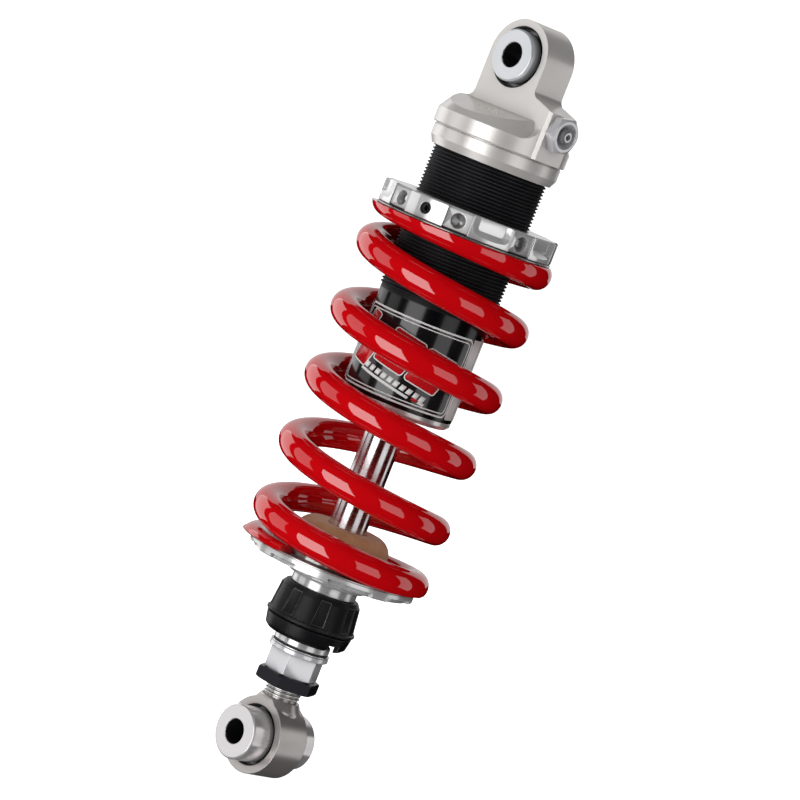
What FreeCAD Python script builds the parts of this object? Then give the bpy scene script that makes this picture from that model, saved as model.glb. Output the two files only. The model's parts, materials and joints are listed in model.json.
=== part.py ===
"""Coil-over rear shock absorber for a motorcycle, 300 mm between its eyes.

Frame: millimetres, +Z up along the damper, the origin at the centre of the upper eye,
+Y along the bolts of both eyes and +X towards the gas valve. Every height below the
upper eye is therefore negative.
"""
import FreeCAD, Part
import math
import os
from types import SimpleNamespace

import Sketcher
from FreeCAD import Placement, Rotation, Vector

DOC = FreeCAD.newDocument("RearShock")
PIECES = []
LOBE = 22.5

# Driving dimensions of the whole shock.
NUMBERS = {
    "eye_spacing": 300.0,
    "bolt_bore": 10.2,
    "running_gap": 0.02,
    # Spherical bearing that both eyes carry.
    "race_dia": 26.0,
    "race_width": 9.0,
    "ball_dia": 22.0,
    "ball_width": 12.0,
    "ball_bore": 15.0,
    "clip_width": 1.1,
    "clip_depth": 0.6,
    "upper_width": 17.1,
    "upper_eye_dia": 31.9,
    "upper_stack": 24.4,
    "upper_flange": 22.0,
    "lower_width": 15.8,
    "lower_eye_dia": 32.8,
    "lower_stack": 36.8,
    "lower_flange": 23.2,
    # Head.
    "head_dia": 57.4,
    "head_lower_dia": 55.2,
    "head_top": -21.7,
    "shoulder": -29.9,
    "groove": -36.2,
    "head_chamfer": -41.6,
    "head_foot": -44.9,
    "valve_height": -23.0,
    "pad_reach": 29.0,
    "plug_flats": 14.1,
    "plug_thickness": 4.5,
    "plug_recess": 10.4,
    # Damper tube and what runs in it.
    "rod_dia": 16.0,
    "tube_bore": 40.0,
    "tube_dia": 47.9,
    "thread_dia": 49.5,
    "thread_foot": -106.9,
    "tube_top": -31.6,
    "tube_foot": -150.0,
    "cap_foot": -153.3,
    "gland_top": -127.0,
    "label_top": -113.4,
    "label_foot": -148.4,
    "piston_shoulder": -121.0,
    "floater_foot": -45.0,
    "floater_length": 8.0,
    # Spring and its seats.
    "spring_dia": 80.9,
    "wire_dia": 12.4,
    "spring_top": -75.5,
    "spring_foot": -221.0,
    "spring_turns": 6.4,
    "ramp_turns": 1.36,
    "end_pitch": 3.0,
    "tip_angle": 223.4,
    "ring_dia": 75.8,
    "ring_top": -65.0,
    "ring_foot": -74.6,
    "ring_turn": -7.6,
    "slot_flat": 36.6,
    "slot_width": 11.1,
    "slot_hole": 6.3,
    "washer_gap": 0.05,
    "seat_dia": 72.2,
    "seat_foot": -225.4,
    "seat_hub_foot": -229.7,
    "bumper_top": -206.0,
    # Rod end, rebound knob and length adjuster.
    "collar_dia": 28.2,
    "collar_foot": -233.9,
    "stem_dia": 22.0,
    "knob_foot": -248.4,
    "click_foot": -255.5,
    "retainer_dia": 24.0,
    "retainer_foot": -258.7,
    "pin_height": -241.0,
    "hex_top": -262.2,
    "hex_foot": -271.6,
    "hex_flats": 20.5,
    "hex_flange_dia": 25.6,
    "nut_foot": -276.8,
    "nut_flats": 24.0,
    "shank_dia": 15.4,
    "shank_top": -249.5,
    "neck_height": -283.0,
}


def number(size):
    """Plain value of a size or a number."""
    return size.value if isinstance(size, Size) else float(size)


def formula(size):
    """Spreadsheet formula of a size or a number."""
    return size.formula if isinstance(size, Size) else repr(float(size))


class Size:
    """A value together with the spreadsheet formula that gives it."""

    def __init__(self, value, text):
        self.value = float(value)
        self.formula = text

    def __add__(self, other):
        return Size(self.value + number(other), f"({self.formula} + {formula(other)})")

    def __radd__(self, other):
        return self + other

    def __sub__(self, other):
        return Size(self.value - number(other), f"({self.formula} - {formula(other)})")

    def __rsub__(self, other):
        return Size(number(other) - self.value, f"({formula(other)} - {self.formula})")

    def __mul__(self, other):
        return Size(self.value * number(other), f"({self.formula} * {formula(other)})")

    def __rmul__(self, other):
        return self * other

    def __truediv__(self, other):
        return Size(self.value / number(other), f"({self.formula} / {formula(other)})")

    def __neg__(self):
        return 0 - self


def chord(radius, distance):
    """Half the chord of a circle at a distance from its centre."""
    value = math.sqrt(number(radius) ** 2 - number(distance) ** 2)
    r, d = formula(radius), formula(distance)
    return Size(value, f"sqrt({r} * {r} - {d} * {d})")


def make_sheet(numbers):
    """Spreadsheet with one aliased cell for each driving dimension."""
    sheet = DOC.addObject("Spreadsheet::Sheet", "Sizes")
    for row, (name, value) in enumerate(numbers.items(), start=1):
        sheet.set(f"A{row}", name)
        sheet.set(f"B{row}", str(value))
        sheet.setAlias(f"B{row}", name)
    DOC.recompute()
    return SimpleNamespace(**{name: Size(sheet.get(name), f"Sizes.{name}") for name in numbers})


S = make_sheet(NUMBERS)


def bind(target, path, size):
    """Drive one property or constraint of an object from the spreadsheet."""
    if isinstance(size, Size):
        target.setExpression(path, size.formula)


# Sketches and features

def origin_plane(body, role):
    """One of a body's own origin planes or axes."""
    return next(item for item in body.Origin.OriginFeatures if item.Role == role)


def arc_between(start, end, radius):
    """Arc from start to end, its centre on the left, or on the right if radius is negative."""
    half = (end - start) / 2
    rise = math.sqrt(max(radius ** 2 - half.Length ** 2, 0.0))
    normal = Vector(-half.y, half.x, 0).normalize()
    centre = start + half + normal * math.copysign(rise, radius)
    from_point, to_point = (start, end) if radius > 0 else (end, start)
    first = math.atan2(from_point.y - centre.y, from_point.x - centre.x)
    last = math.atan2(to_point.y - centre.y, to_point.x - centre.x)
    if last < first:
        last += 2 * math.pi
    circle = Part.Circle(centre, Vector(0, 0, 1), abs(radius))
    return Part.ArcOfCircle(circle, first, last)


def pin_coordinate(sketch, kind, axis, side, end, size):
    """Fix one coordinate of a side's end point, on the axis itself where it is zero."""
    if number(size) == 0:
        sketch.addConstraint(Sketcher.Constraint("PointOnObject", side, end, axis))
        return
    constraint = Sketcher.Constraint(kind, -1, 1, side, end, number(size))
    index = sketch.addConstraint(constraint)
    bind(sketch, f"Constraints[{index}]", size)


def outline(sketch, corners):
    """Closed outline; a corner's third value is the radius of the side that follows it."""
    first = sketch.GeometryCount
    count = len(corners)
    points = [Vector(number(corner[0]), number(corner[1]), 0) for corner in corners]
    ends = []
    for i, corner in enumerate(corners):
        start, end = points[i], points[(i + 1) % count]
        if len(corner) == 3:
            sketch.addGeometry(arc_between(start, end, number(corner[2])), False)
            ends.append((1, 2) if number(corner[2]) > 0 else (2, 1))
        else:
            sketch.addGeometry(Part.LineSegment(start, end), False)
            ends.append((1, 2))
    for i, corner in enumerate(corners):
        side, following = first + i, first + (i + 1) % count
        next_start = ends[(i + 1) % count][0]
        sketch.addConstraint(
            Sketcher.Constraint("Coincident", side, ends[i][1], following, next_start))
        pin_coordinate(sketch, "DistanceX", -2, side, ends[i][0], corner[0])
        pin_coordinate(sketch, "DistanceY", -1, side, ends[i][0], corner[1])
        if len(corner) == 3:
            radius = abs(number(corner[2]))
            index = sketch.addConstraint(Sketcher.Constraint("Radius", side, radius))
            bind(sketch, f"Constraints[{index}]", corner[2] if radius == number(corner[2])
                 else 0 - corner[2])


def circle(sketch, x, y, radius):
    """Circle with its centre and radius driven from the spreadsheet."""
    centre = Vector(number(x), number(y), 0)
    side = sketch.addGeometry(Part.Circle(centre, Vector(0, 0, 1), number(radius)), False)
    pin_coordinate(sketch, "DistanceX", -2, side, 3, x)
    pin_coordinate(sketch, "DistanceY", -1, side, 3, y)
    index = sketch.addConstraint(Sketcher.Constraint("Radius", side, number(radius)))
    bind(sketch, f"Constraints[{index}]", radius)


def polygon(sketch, sides, flats, angle=0):
    """Regular polygon of even sides across its flats, a vertex at an angle in degrees."""
    corner = flats / (2 * math.cos(math.pi / sides))
    step = 360 / sides
    turns = [math.radians(angle + step * i) for i in range(sides)]
    outline(sketch, [(corner * math.cos(a), corner * math.sin(a)) for a in turns])


def sketch_on(body, role, offset=0):
    """Empty sketch on one of a body's origin planes, moved along its normal by offset."""
    sketch = body.newObject("Sketcher::SketchObject", f"{body.Name}_sketch")
    sketch.AttachmentSupport = [(origin_plane(body, role), "")]
    sketch.MapMode = "FlatFace"
    sketch.AttachmentOffset = Placement(Vector(0, 0, number(offset)), Rotation())
    bind(sketch, ".AttachmentOffset.Base.z", offset)
    return sketch


def outlined(body, role, corners, offset=0):
    """Sketch on an origin plane that holds one closed outline."""
    sketch = sketch_on(body, role, offset)
    outline(sketch, corners)
    return sketch


def new_body(label):
    """Empty body that becomes the sub-part of that name."""
    body = DOC.addObject("PartDesign::Body", label)
    body.Label = label
    return body


def feature(body, kind, sketch):
    """Feature of a kind such as Pad or Groove, made from a sketch."""
    made = body.newObject(f"PartDesign::{kind}", f"{body.Name}_{kind}")
    made.Profile = sketch
    return made


def spun(body, kind, sketch, angle=360):
    """Revolution or Groove about the sketch's upright axis."""
    made = feature(body, kind, sketch)
    made.ReferenceAxis = (sketch, ["V_Axis"])
    made.Midplane = angle != 360
    made.Angle = angle
    return made


def extruded(body, kind, sketch, length, symmetric=False, reverse=False):
    """Pad or Pocket of a length, on both sides of its sketch if symmetric."""
    made = feature(body, kind, sketch)
    made.SideType = "Symmetric" if symmetric else "One side"
    made.Length = number(length)
    bind(made, "Length", length)
    made.Reversed = reverse
    return made


def around(body, original, count, extent=360):
    """Repeat a feature about the body's Z axis over a full turn or less."""
    pattern = body.newObject("PartDesign::PolarPattern", f"{body.Name}_pattern")
    pattern.Originals = [original]
    pattern.Axis = (origin_plane(body, "Z_Axis"), [""])
    pattern.Angle = extent
    pattern.Occurrences = count
    body.Tip = pattern
    return pattern


def place(piece, height=0, turn=0):
    """Set a sub-part at a height on the damper axis, turned about it, and keep it."""
    piece.Placement = Placement(Vector(0, 0, number(height)), Rotation(Vector(0, 0, 1), turn))
    bind(piece, ".Placement.Base.z", height)
    PIECES.append(piece)
    return piece


def turned(label, corners, angle=360):
    """Piece turned about the damper axis; corners are (radius, height)."""
    body = new_body(label)
    spun(body, "Revolution", outlined(body, "XZ_Plane", corners), angle)
    return body


def turned_on_bolt(label, corners, angle=360):
    """Piece turned about the bolt axis; corners are (radius, distance along Y)."""
    body = new_body(label)
    spun(body, "Revolution", outlined(body, "XY_Plane", corners), angle)
    return body


def ring_corners(inner, outer, low, high, chamfer=0):
    """Corners of a plain ring's section, its outer edges chamfered."""
    if not number(chamfer):
        return [(inner, low), (outer, low), (outer, high), (inner, high)]
    return [(inner, low), (outer - chamfer, low), (outer, low + chamfer),
            (outer, high - chamfer), (outer - chamfer, high), (inner, high)]


def ring(label, inner, outer, low, high, chamfer=0, angle=360):
    """Ring about the damper axis, kept where it is drawn."""
    return place(turned(label, ring_corners(inner, outer, low, high, chamfer), angle))


def mirrored_pair(label, source, height):
    """Two like pieces, one on each side of an eye, kept as one node."""
    mirror = DOC.addObject("Part::Mirroring", f"{label}_mirror")
    mirror.Source = source
    mirror.Normal = Vector(0, 1, 0)
    pair = DOC.addObject("Part::Compound", label)
    pair.Label = label
    pair.Links = [source, mirror]
    return place(pair, height)


# Eyes: spherical bearing, circlips, dust seals and spacers

def bearing(eye, height, width, stack, flange):
    """Bearing of one eye with its clips, seals and the two top-hat spacers."""
    race_inner = S.ball_dia / 2 + S.running_gap
    race_edge = chord(race_inner, S.race_width / 2)
    place(turned_on_bolt(f"{eye}_bearing_race", [
        (S.race_dia / 2, -S.race_width / 2),
        (S.race_dia / 2, S.race_width / 2),
        (race_edge, S.race_width / 2, -race_inner),
        (race_edge, -S.race_width / 2)]), height)

    ball_edge = chord(S.ball_dia / 2, S.ball_width / 2)
    place(turned_on_bolt(f"{eye}_bearing_ball", [
        (S.ball_bore / 2, -S.ball_width / 2),
        (ball_edge, -S.ball_width / 2, S.ball_dia / 2),
        (ball_edge, S.ball_width / 2),
        (S.ball_bore / 2, S.ball_width / 2)]), height)

    clip_low = S.race_width / 2
    clip_high = clip_low + S.clip_width
    clip = turned_on_bolt(f"{eye}_clip", ring_corners(
        12.2, S.race_dia / 2 + S.clip_depth, clip_low, clip_high), 330)
    mirrored_pair(f"{eye}_bearing_clips", clip, height)

    seal_high = width / 2 - 0.5
    seal = turned_on_bolt(f"{eye}_seal", [
        (12.25, clip_high + 0.05),
        (S.race_dia / 2, clip_high + 0.05),
        (S.race_dia / 2, seal_high),
        (12.6, seal_high),
        (12.25, seal_high - 0.35)])
    mirrored_pair(f"{eye}_dust_seals", seal, height)

    for side, sign in (("front", -1), ("rear", 1)):
        end, shoulder, neck = stack / 2, 6.9, S.ball_width / 2 + 0.05
        spacer = turned_on_bolt(f"{eye}_spacer_{side}", [
            (S.bolt_bore / 2, 0.2),
            (S.ball_bore / 2 - S.running_gap, 0.2),
            (S.ball_bore / 2 - S.running_gap, neck),
            (9.5, neck),
            (9.5, shoulder),
            (flange / 2, shoulder),
            (flange / 2, end - 0.6),
            (flange / 2 - 0.6, end),
            (S.bolt_bore / 2 + 0.3, end),
            (S.bolt_bore / 2, end - 0.3)])
        spacer.Placement = Placement(
            Vector(0, 0, number(height)), Rotation(Vector(0, 0, 1), 90 - 90 * sign))
        bind(spacer, ".Placement.Base.z", height)
        PIECES.append(spacer)


def bore_eye(body, width):
    """Cut the bearing bore and its circlip grooves about the Y axis through the origin."""
    bore, past = S.race_dia / 2, width / 2 + 5
    groove_low = S.race_width / 2
    groove_high = groove_low + S.clip_width
    groove = bore + S.clip_depth
    spun(body, "Groove", outlined(body, "XY_Plane", [
        (0, -past), (bore, -past),
        (bore, -groove_high), (groove, -groove_high),
        (groove, -groove_low), (bore, -groove_low),
        (bore, groove_low), (groove, groove_low),
        (groove, groove_high), (bore, groove_high),
        (bore, past), (0, past)]))


def upper_head():
    """Milled head: eye, slab, valve pad, conical shoulder and the two turned bands."""
    body = new_body("upper_head")
    radius, half = S.head_dia / 2, S.upper_width / 2
    eye = S.upper_eye_dia / 2

    flare = 8.0
    foot = outlined(body, "YZ_Plane", [
        (-half, S.shoulder + flare, -flare),
        (-half - flare, S.shoulder),
        (half + flare, S.shoulder, -flare),
        (half, S.shoulder + flare)], offset=-20)
    extruded(body, "Pad", foot, radius + 20)
    spun(body, "Groove", outlined(body, "XZ_Plane", ring_corners(radius, 45, -50, -5)))

    cone_top = 23.2
    spun(body, "Revolution", outlined(body, "XZ_Plane", [
        (0, S.head_foot), (26.0, S.head_foot),
        (S.head_lower_dia / 2, S.head_chamfer),
        (S.head_lower_dia / 2, S.groove - 0.7),
        (S.head_lower_dia / 2 - 0.4, S.groove - 0.7),
        (S.head_lower_dia / 2 - 0.4, S.groove),
        (radius - 0.4, S.groove),
        (radius, S.groove + 0.4),
        (radius, S.shoulder),
        (cone_top, S.head_top), (0, S.head_top)]))
    for sign in (-1, 1):
        slope = outlined(body, "YZ_Plane", [
            (sign * half, S.head_top), (sign * (half + 30), S.head_top - 9),
            (sign * (half + 30), S.head_top + 5), (sign * half, S.head_top + 5)])
        extruded(body, "Pocket", slope, 80, symmetric=True)
    side_slope = outlined(body, "XZ_Plane", [
        (-eye - 4, S.head_top), (-eye - 24, S.head_top - 5),
        (-eye - 24, S.head_top + 5), (-eye - 4, S.head_top + 5)])
    extruded(body, "Pocket", side_slope, 80, symmetric=True)

    ledge, pad_top = -13.1, -15.9
    fillet = 3.6
    slab = outlined(body, "XZ_Plane", [
        (-eye, 0), (-eye, S.head_top + 4, -4.0),
        (-eye - 4, S.head_top), (-eye - 4, S.shoulder),
        (0, S.shoulder), (0, S.groove + 0.1),
        (S.pad_reach, S.groove + 0.1), (S.pad_reach, pad_top),
        (eye + fillet, ledge, -fillet),
        (eye, ledge + fillet), (eye, 0, eye), (0, eye, eye)])
    extruded(body, "Pad", slab, S.upper_width, symmetric=True)

    for sign in (-1, 1):
        corner = outlined(body, "XY_Plane", [
            (S.pad_reach - 1.4, sign * (half + 1)), (S.pad_reach + 1, sign * (half + 1)),
            (S.pad_reach + 1, sign * (half - 2)), (S.pad_reach, sign * (half - 1)),
            (S.pad_reach - 1.4, sign * half)], offset=S.groove - 1)
        extruded(body, "Pocket", corner, 40, reverse=True)

    bore_eye(body, S.upper_width)
    chamber = S.tube_bore / 2 + 0.2
    seal, seal_low, seal_high = S.thread_dia / 2 + 1.5, S.groove - 2.8, S.groove - 0.8
    spun(body, "Groove", outlined(body, "XZ_Plane", [
        (0, S.head_foot - 5), (S.thread_dia / 2, S.head_foot - 5),
        (S.thread_dia / 2, seal_low), (seal, seal_low), (seal, seal_high),
        (S.thread_dia / 2, seal_high),
        (S.thread_dia / 2, S.tube_top), (chamber, S.tube_top),
        (chamber, -28.6), (14.0, -26.6), (0, -26.6)]))
    port = sketch_on(body, "YZ_Plane", offset=3)
    circle(port, 0, S.valve_height, 2.0)
    extruded(body, "Pocket", port, 40, reverse=True)
    tapping = sketch_on(body, "YZ_Plane", offset=19)
    circle(tapping, 0, S.valve_height, 4.5)
    extruded(body, "Pocket", tapping, 20, reverse=True)
    counterbore = sketch_on(body, "YZ_Plane", offset=S.pad_reach - 1.4)
    circle(counterbore, 0, S.valve_height, 5.9)
    extruded(body, "Pocket", counterbore, 5, reverse=True)
    down = sketch_on(body, "XY_Plane", offset=S.valve_height)
    circle(down, 6, 0, 1.8)
    extruded(body, "Pocket", down, 8)
    place(body)
    ring("head_o_ring", S.thread_dia / 2, seal, seal_low, seal_high)


def gas_valve():
    """Hexagon plug with a dished recess, its O-ring, and the fill screw inside it."""
    reach, height = S.pad_reach, S.valve_height
    plug = new_body("gas_valve_plug")
    head = sketch_on(plug, "YZ_Plane", offset=reach)
    polygon(head, 6, number(S.plug_flats), 8.5)
    extruded(plug, "Pad", head, S.plug_thickness)
    stem = sketch_on(plug, "YZ_Plane", offset=reach)
    circle(stem, 0, 0, 4.48)
    extruded(plug, "Pad", stem, 8, reverse=True)
    face = reach + S.plug_thickness
    corner_cut = outlined(plug, "XY_Plane", [
        (face - 1.3, 9.5), (face - 1.3, 8.2), (face, 6.4), (face + 1, 6.4), (face + 1, 9.5)])
    chamfer = feature(plug, "Groove", corner_cut)
    chamfer.ReferenceAxis = (corner_cut, ["H_Axis"])
    dish = outlined(plug, "XY_Plane", [
        (face + 1, 0), (face + 1, S.plug_recess / 2), (face - 0.3, S.plug_recess / 2),
        (face - 2.4, 2.8), (face - 2.4, 2.4), (face - 6.5, 2.4), (face - 6.5, 0)])
    recess = feature(plug, "Groove", dish)
    recess.ReferenceAxis = (dish, ["H_Axis"])
    place(plug, height)

    screw = new_body("gas_fill_screw")
    shape = outlined(screw, "XY_Plane", [
        (face - 6.4, 0), (face - 6.4, 2.35), (face - 2.35, 2.35), (face - 2.35, 2.7),
        (face + 0.3, 2.7), (face + 1.0, 2.0), (face + 1.0, 0)])
    turned_screw = feature(screw, "Revolution", shape)
    turned_screw.ReferenceAxis = (shape, ["H_Axis"])
    socket = sketch_on(screw, "YZ_Plane", offset=face + 1.0)
    polygon(socket, 6, 2.5)
    extruded(screw, "Pocket", socket, 2.2)
    place(screw, height)

    seal = DOC.addObject("Part::Torus", "gas_plug_seal")
    seal.Label = "gas_plug_seal"
    seal.Radius1 = 5.2
    seal.Radius2 = 0.65
    seal.Placement = Placement(Vector(0, 0, 0), Rotation(Vector(0, 1, 0), 90))
    seal.Placement.Base = Vector(number(reach) - 0.7, 0, number(height))
    bind(seal, ".Placement.Base.z", height)
    PIECES.append(seal)


def damper_tube():
    """Threaded tube, its wrap-round label and the closing gland with its seals."""
    bore, outer = S.tube_bore / 2, S.tube_dia / 2
    thread = S.thread_dia / 2
    place(turned("damper_tube", [
        (bore, S.tube_foot), (outer, S.tube_foot), (outer, S.thread_foot - 0.8),
        (thread, S.thread_foot), (thread, S.tube_top), (bore, S.tube_top)]))
    ring("tube_label", outer, outer + 0.15, S.label_foot, S.label_top, angle=352)

    shaft, spigot = S.rod_dia / 2 + 0.35, bore - 0.02
    bush, seal, wiper = 9.5, 12.0, 11.5
    place(turned("seal_head", [
        (wiper, S.cap_foot), (outer - 1.6, S.cap_foot), (outer - 0.1, S.cap_foot + 1.5),
        (outer - 0.1, S.tube_foot), (spigot, S.tube_foot),
        (spigot, -138.2), (18.3, -138.2), (18.3, -135.4), (spigot, -135.4),
        (spigot, S.gland_top), (shaft, S.gland_top),
        (shaft, -128.0), (bush, -128.0), (bush, -140.0),
        (shaft, -140.0), (shaft, -141.0), (seal, -141.0), (seal, -146.5),
        (shaft, -146.5), (shaft, -148.0), (wiper, -148.0)]))
    shaft_fit = S.rod_dia / 2 + S.running_gap
    ring("rod_bush", shaft_fit, bush, -140.0, -128.0)
    ring("oil_seal", shaft_fit, seal, -146.5, -141.0)
    place(turned("dust_wiper", [
        (shaft_fit, S.cap_foot - 0.6), (9.4, S.cap_foot - 0.6), (wiper, S.cap_foot + 0.4),
        (wiper, -148.0), (9.6, -148.0), (9.6, -151.0), (shaft_fit, -151.6)]))
    ring("seal_head_o_ring", 18.3, spigot, -137.9, -135.7)


def rod_and_piston():
    """Rod with the piston stack on its upper end and the rod end on its lower one."""
    shaft, stud, passage = S.rod_dia / 2, 5.0, 3.1
    shoulder = S.piston_shoulder
    place(turned("damper_rod", [
        (passage, -237.0), (shaft, -237.0), (shaft, shoulder),
        (stud, shoulder), (stud, shoulder + 21.5), (passage, shoulder + 21.5)]))
    ring("top_out_plate", shaft, 15.0, shoulder - 1.6, shoulder)
    ring("top_out_bumper", shaft + 0.05, 13.5, S.gland_top + 0.1, shoulder - 1.6, 0.8)

    low = shoulder + 1.6
    high = low + 12.0
    band = S.tube_bore / 2 - 0.03
    place(turned("piston", [
        (stud, low), (band - 1.0, low), (band - 0.35, low + 0.8),
        (band - 0.35, low + 3.0), (band - 1.8, low + 3.0),
        (band - 1.8, high - 3.0), (band - 0.35, high - 3.0),
        (band - 0.35, high - 0.8), (band - 1.0, high), (stud, high)]))
    ring("piston_band", band - 1.8, band, low + 3.0, high - 3.0, angle=356)
    place(turned("compression_shims", [
        (stud, low - 1.6), (11.0, low - 1.6), (11.0, low - 1.2), (13.0, low - 1.2),
        (13.0, low - 0.8), (15.0, low - 0.8), (15.0, low), (stud, low)]))
    place(turned("rebound_shims", [
        (stud, high), (15.0, high), (15.0, high + 0.8), (13.0, high + 0.8),
        (13.0, high + 1.2), (11.0, high + 1.2), (11.0, high + 1.8), (stud, high + 1.8)]))
    nut = new_body("piston_nut")
    hexagon = sketch_on(nut, "XY_Plane", offset=high + 1.8)
    polygon(hexagon, 6, 16.0)
    circle(hexagon, 0, 0, stud)
    extruded(nut, "Pad", hexagon, 5.5)
    place(nut)

    floater = S.tube_bore / 2 - 0.05
    foot, top = S.floater_foot, S.floater_foot + S.floater_length
    place(turned("floating_piston", [
        (0, foot), (floater, foot), (floater, foot + 2.6), (floater - 1.7, foot + 2.6),
        (floater - 1.7, top - 2.6), (floater, top - 2.6), (floater, top),
        (floater - 5, top), (floater - 6, top - 3), (0, top - 3)]))
    ring("floating_piston_o_ring", floater - 1.7, band, foot + 2.7, top - 2.7)


def coil_height(turn):
    """Height of the wire's centre after so many turns from the upper tip.

    The pitch grows evenly over the first ramp_turns, stays, and falls in the same way.
    """
    turns, ramp = number(S.spring_turns), number(S.ramp_turns)
    end_pitch, wire = number(S.end_pitch), number(S.wire_dia)
    tip_rise = wire / 4
    top = number(S.spring_top) + tip_rise
    drop = top - (number(S.spring_foot) - tip_rise)
    pitch = (drop - end_pitch * ramp) / (turns - ramp)

    def from_end(count):
        return end_pitch * count + (pitch - end_pitch) * count ** 2 / (2 * ramp)

    if turn <= ramp:
        return top - from_end(turn)
    if turn >= turns - ramp:
        return top - drop + from_end(turns - turn)
    return top - from_end(ramp) - pitch * (turn - ramp)


def coil_spring():
    """Left-hand compression spring of round wire, both ends closed and ground flat."""
    wire = number(S.wire_dia) / 2
    mean = number(S.spring_dia) / 2 - wire
    steps_per_turn = 16
    steps = round(number(S.spring_turns) * steps_per_turn)
    points = []
    for step in range(steps + 1):
        turn = number(S.spring_turns) * step / steps
        angle = math.radians(number(S.tip_angle) - 90 + 360 * turn)
        points.append(Vector(
            mean * math.cos(angle), mean * math.sin(angle), coil_height(turn)))
    line = Part.BSplineCurve()
    line.interpolate(points)
    path = Part.Wire([line.toShape()])
    section = Part.Circle(points[0], line.tangent(line.FirstParameter)[0], wire).toShape()
    coil = path.makePipeShell([Part.Wire([section])], True, True)
    top, foot = number(S.spring_top), number(S.spring_foot)
    side = 4 * mean
    between = Part.makeBox(side, side, top - foot, Vector(-side / 2, -side / 2, foot))
    spring = DOC.addObject("Part::Feature", "coil_spring")
    spring.Label = "coil_spring"
    spring.Shape = coil.common(between)
    place(spring)


def lock_hole(body):
    """Threaded lock-screw hole through the one lobe of the preload ring left whole."""
    tapped = sketch_on(body, "YZ_Plane")
    circle(tapped, 0, (S.ring_foot + S.ring_top) / 2, 2.5)
    tapped.AttachmentOffset = Placement(Vector(), Rotation(Vector(0, 1, 0), -LOBE * 3))
    extruded(body, "Pocket", tapped, 60, reverse=True)


def lobe_sketch(body, distance, half, low, high, corner):
    """Round-cornered outline square to the middle of a lobe, at a distance from the axis."""
    sketch = outlined(body, "YZ_Plane", [
        (-half, low + corner, corner), (corner - half, low), (half - corner, low, corner),
        (half, low + corner), (half, high), (-half, high)])
    turn = math.radians(-LOBE)
    aside, along = distance * math.sin(turn), distance * math.cos(turn)
    sketch.AttachmentOffset = Placement(
        Vector(number(aside), 0, number(along)), Rotation(Vector(0, 1, 0), -LOBE))
    bind(sketch, ".AttachmentOffset.Base.x", aside)
    bind(sketch, ".AttachmentOffset.Base.z", along)
    return sketch


def preload_ring():
    """Castellated ring nut: eight spanner flats with holes, relieved lobes, a lock screw."""
    inner, outer = S.thread_dia / 2 + 0.1, S.ring_dia / 2
    low, high = S.ring_foot, S.ring_top
    middle = (low + high) / 2
    body = turned("preload_ring", ring_corners(inner, outer, low, high, 0.5))
    bevel = 0.9
    flat = outlined(body, "XZ_Plane", [
        (S.slot_flat, low + bevel), (S.slot_flat, high - bevel),
        (S.slot_flat - bevel - 0.5, high + 0.5), (S.slot_flat + 8, high + 0.5),
        (S.slot_flat + 8, low - 0.5), (S.slot_flat - bevel - 0.5, low - 0.5)])
    around(body, extruded(body, "Pocket", flat, S.slot_width, symmetric=True), 8)
    drill = outlined(body, "XZ_Plane", [
        (S.slot_flat - 5.7, 0), (S.slot_flat - 4, S.slot_hole / 2),
        (S.slot_flat + 5, S.slot_hole / 2), (S.slot_flat + 5, 0)])
    drill.AttachmentOffset = Placement(Vector(0, number(middle), 0), Rotation())
    bind(drill, ".AttachmentOffset.Base.y", middle)
    hole = feature(body, "Groove", drill)
    hole.ReferenceAxis = (drill, ["H_Axis"])
    around(body, hole, 8)

    mouth = lobe_sketch(body, outer + 1, 13.4, low + 0.9, high + 1, 6.0)
    floor = lobe_sketch(body, outer - 2.3, 5.6, low + 4.3, high + 1, 1.2)
    relief = feature(body, "SubtractiveLoft", mouth)
    relief.Sections = [floor]
    relief.Ruled = True
    around(body, relief, 7, extent=270)
    lock_hole(body)
    place(body, turn=number(S.ring_turn))

    screw = new_body("ring_lock_screw")
    shank = outlined(screw, "XY_Plane", [
        (inner + 0.3, 0), (inner + 0.3, 1.6), (inner + 1.2, 2.45),
        (outer - 1.2, 2.45), (outer - 1.2, 0)])
    spin = feature(screw, "Revolution", shank)
    spin.ReferenceAxis = (shank, ["H_Axis"])
    socket = sketch_on(screw, "YZ_Plane", offset=outer - 1.2)
    polygon(socket, 6, 2.5)
    extruded(screw, "Pocket", socket, 3)
    place(screw, middle, number(S.ring_turn) - 3 * LOBE)


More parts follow.
